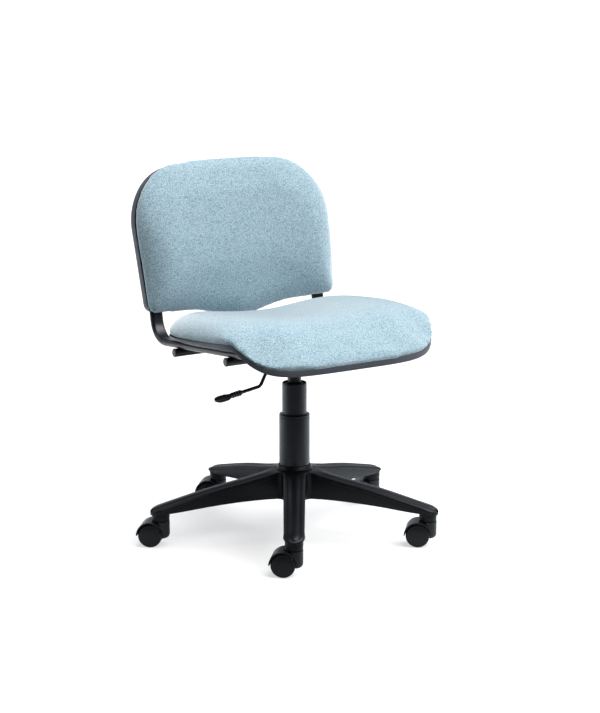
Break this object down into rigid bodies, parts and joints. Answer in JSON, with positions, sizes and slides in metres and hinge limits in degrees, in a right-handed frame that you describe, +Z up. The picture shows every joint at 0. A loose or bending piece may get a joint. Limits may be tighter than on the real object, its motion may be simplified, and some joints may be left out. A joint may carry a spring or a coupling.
{
  "type": "swivel office chair",
  "caption": "Armless swivel task chair with a castor base, gas lift, release lever, waterfall seat pad and curved upholstered back on oval tube frame.",
  "frame": {"origin": "on the column axis at floor level", "axes": "+Z up; the sitter faces -Y; the sitter's right hand is towards -X"},
  "size_m": [0.6022, 0.5801, 0.7374],
  "materials": {
    "moulded_nylon": "satin, lightly grained",
    "castor_nylon": "semi-gloss",
    "wheel_nylon": "semi-gloss",
    "bright_steel": "turned, zinc plated",
    "black_steel": "satin powder coat",
    "inner_nylon": "plain",
    "valve_brass": "turned",
    "trim_plastic": "satin",
    "shell_plastic": "fine grain",
    "plywood": "raw",
    "wool_felt": "felted wool, heathered"
  },
  "bodies": {
    "base": {"star_base": "moulded_nylon", "stem_sleeves": "bright_steel", "column_tube": "black_steel", "guide_bush": "inner_nylon", "tube_base_cap": "bright_steel", "lower_cover": "moulded_nylon", "thrust_bearing": "bright_steel", "bump_stop": "inner_nylon"},
    "rod_stage": {"piston_rod": "bright_steel", "piston_head": "valve_brass", "rod_clip": "bright_steel"},
    "seat_assembly": {"pressure_cylinder": "black_steel", "rod_seal": "inner_nylon", "valve_body": "valve_brass", "mechanism_plate": "black_steel", "taper_socket": "black_steel", "lever_pivot_pin": "bright_steel", "crossbars": "black_steel", "crossbar_caps": "trim_plastic", "side_tube_right": "black_steel", "side_tube_left": "black_steel", "tube_end_plugs": "trim_plastic", "seat_bolts": "bright_steel", "seat_shell": "shell_plastic", "seat_board": "plywood", "seat_cushion": "wool_felt", "back_pads": "inner_nylon", "back_bolts": "bright_steel", "back_board": "plywood", "back_shell": "shell_plastic", "back_cushion": "wool_felt"},
    "release_lever": {"lever_arm": "black_steel", "lever_rod": "black_steel", "lever_handle": "trim_plastic"},
    "release_pin": {"release_pin": "bright_steel"},
    "castor_1": {"castor_1_hood": "castor_nylon", "castor_1_stem": "bright_steel", "castor_1_axle": "bright_steel"},
    "castor_1_wheel_left": {"castor_1_wheel_left": "wheel_nylon"},
    "castor_1_wheel_right": {"castor_1_wheel_right": "wheel_nylon"},
    "castor_2": {"castor_2_hood": "castor_nylon", "castor_2_stem": "bright_steel", "castor_2_axle": "bright_steel"},
    "castor_2_wheel_left": {"castor_2_wheel_left": "wheel_nylon"},
    "castor_2_wheel_right": {"castor_2_wheel_right": "wheel_nylon"},
    "castor_3": {"castor_3_hood": "castor_nylon", "castor_3_stem": "bright_steel", "castor_3_axle": "bright_steel"},
    "castor_3_wheel_left": {"castor_3_wheel_left": "wheel_nylon"},
    "castor_3_wheel_right": {"castor_3_wheel_right": "wheel_nylon"},
    "castor_4": {"castor_4_hood": "castor_nylon", "castor_4_stem": "bright_steel", "castor_4_axle": "bright_steel"},
    "castor_4_wheel_left": {"castor_4_wheel_left": "wheel_nylon"},
    "castor_4_wheel_right": {"castor_4_wheel_right": "wheel_nylon"},
    "castor_5": {"castor_5_hood": "castor_nylon", "castor_5_stem": "bright_steel", "castor_5_axle": "bright_steel"},
    "castor_5_wheel_left": {"castor_5_wheel_left": "wheel_nylon"},
    "castor_5_wheel_right": {"castor_5_wheel_right": "wheel_nylon"}
  },
  "joints": [
    {"name": "seat_swivel", "type": "hinge", "parent": "base", "child": "rod_stage", "pos_m": [0, 0, 0.08], "axis": [0, 0, 1], "continuous": true},
    {"name": "seat_height", "type": "slide", "parent": "rod_stage", "child": "seat_assembly", "axis": [0, 0, 1], "range_m": [-0.015, 0.095]},
    {"name": "lever_pivot", "type": "hinge", "parent": "seat_assembly", "child": "release_lever", "pos_m": [-0.021, 0, 0.3925], "axis": [0, 1, 0], "range_deg": [0, 8], "stiffness_Nm_per_rad": 1.2, "springref_deg": -6.88},
    {"name": "pin_press", "type": "slide", "parent": "seat_assembly", "child": "release_pin", "axis": [0, 0, -1], "range_m": [0, 0.003], "stiffness_N_per_m": 300},
    {"name": "castor_1_swivel", "type": "hinge", "parent": "base", "child": "castor_1", "pos_m": [-0.15657, -0.23213, 0.05], "axis": [0, 0, 1], "continuous": true},
    {"name": "castor_1_roll_left", "type": "hinge", "parent": "castor_1", "child": "castor_1_wheel_left", "pos_m": [-0.16056, -0.20816, 0.024], "axis": [-0.6691, -0.7431, 0], "continuous": true},
    {"name": "castor_1_roll_right", "type": "hinge", "parent": "castor_1", "child": "castor_1_wheel_right", "pos_m": [-0.18083, -0.23068, 0.024], "axis": [-0.6691, -0.7431, 0], "continuous": true},
    {"name": "castor_2_swivel", "type": "hinge", "parent": "base", "child": "castor_2", "pos_m": [0.17239, -0.22064, 0.05], "axis": [0, 0, 1], "continuous": true},
    {"name": "castor_2_roll_left", "type": "hinge", "parent": "castor_2", "child": "castor_2_wheel_left", "pos_m": [0.1684, -0.19667, 0.024], "axis": [-0.6691, -0.7431, 0], "continuous": true},
    {"name": "castor_2_roll_right", "type": "hinge", "parent": "castor_2", "child": "castor_2_wheel_right", "pos_m": [0.14813, -0.21919, 0.024], "axis": [-0.6691, -0.7431, 0], "continuous": true},
    {"name": "castor_3_swivel", "type": "hinge", "parent": "base", "child": "castor_3", "pos_m": [0.26311, 0.09577, 0.05], "axis": [0, 0, 1], "continuous": true},
    {"name": "castor_3_roll_left", "type": "hinge", "parent": "castor_3", "child": "castor_3_wheel_left", "pos_m": [0.25913, 0.11974, 0.024], "axis": [-0.6691, -0.7431, 0], "continuous": true},
    {"name": "castor_3_roll_right", "type": "hinge", "parent": "castor_3", "child": "castor_3_wheel_right", "pos_m": [0.23886, 0.09722, 0.024], "axis": [-0.6691, -0.7431, 0], "continuous": true},
    {"name": "castor_4_swivel", "type": "hinge", "parent": "base", "child": "castor_4", "pos_m": [-0.00977, 0.27983, 0.05], "axis": [0, 0, 1], "continuous": true},
    {"name": "castor_4_roll_left", "type": "hinge", "parent": "castor_4", "child": "castor_4_wheel_left", "pos_m": [-0.01375, 0.3038, 0.024], "axis": [-0.6691, -0.7431, 0], "continuous": true},
    {"name": "castor_4_roll_right", "type": "hinge", "parent": "castor_4", "child": "castor_4_wheel_right", "pos_m": [-0.03403, 0.28128, 0.024], "axis": [-0.6691, -0.7431, 0], "continuous": true},
    {"name": "castor_5_swivel", "type": "hinge", "parent": "base", "child": "castor_5", "pos_m": [-0.26915, 0.07718, 0.05], "axis": [0, 0, 1], "continuous": true},
    {"name": "castor_5_roll_left", "type": "hinge", "parent": "castor_5", "child": "castor_5_wheel_left", "pos_m": [-0.27314, 0.10115, 0.024], "axis": [-0.6691, -0.7431, 0], "continuous": true},
    {"name": "castor_5_roll_right", "type": "hinge", "parent": "castor_5", "child": "castor_5_wheel_right", "pos_m": [-0.29341, 0.07863, 0.024], "axis": [-0.6691, -0.7431, 0], "continuous": true}
  ],
  "couplings": [
    {"joint": "pin_press", "follows": "lever_pivot", "m_per_rad": 0.021}
  ]
}
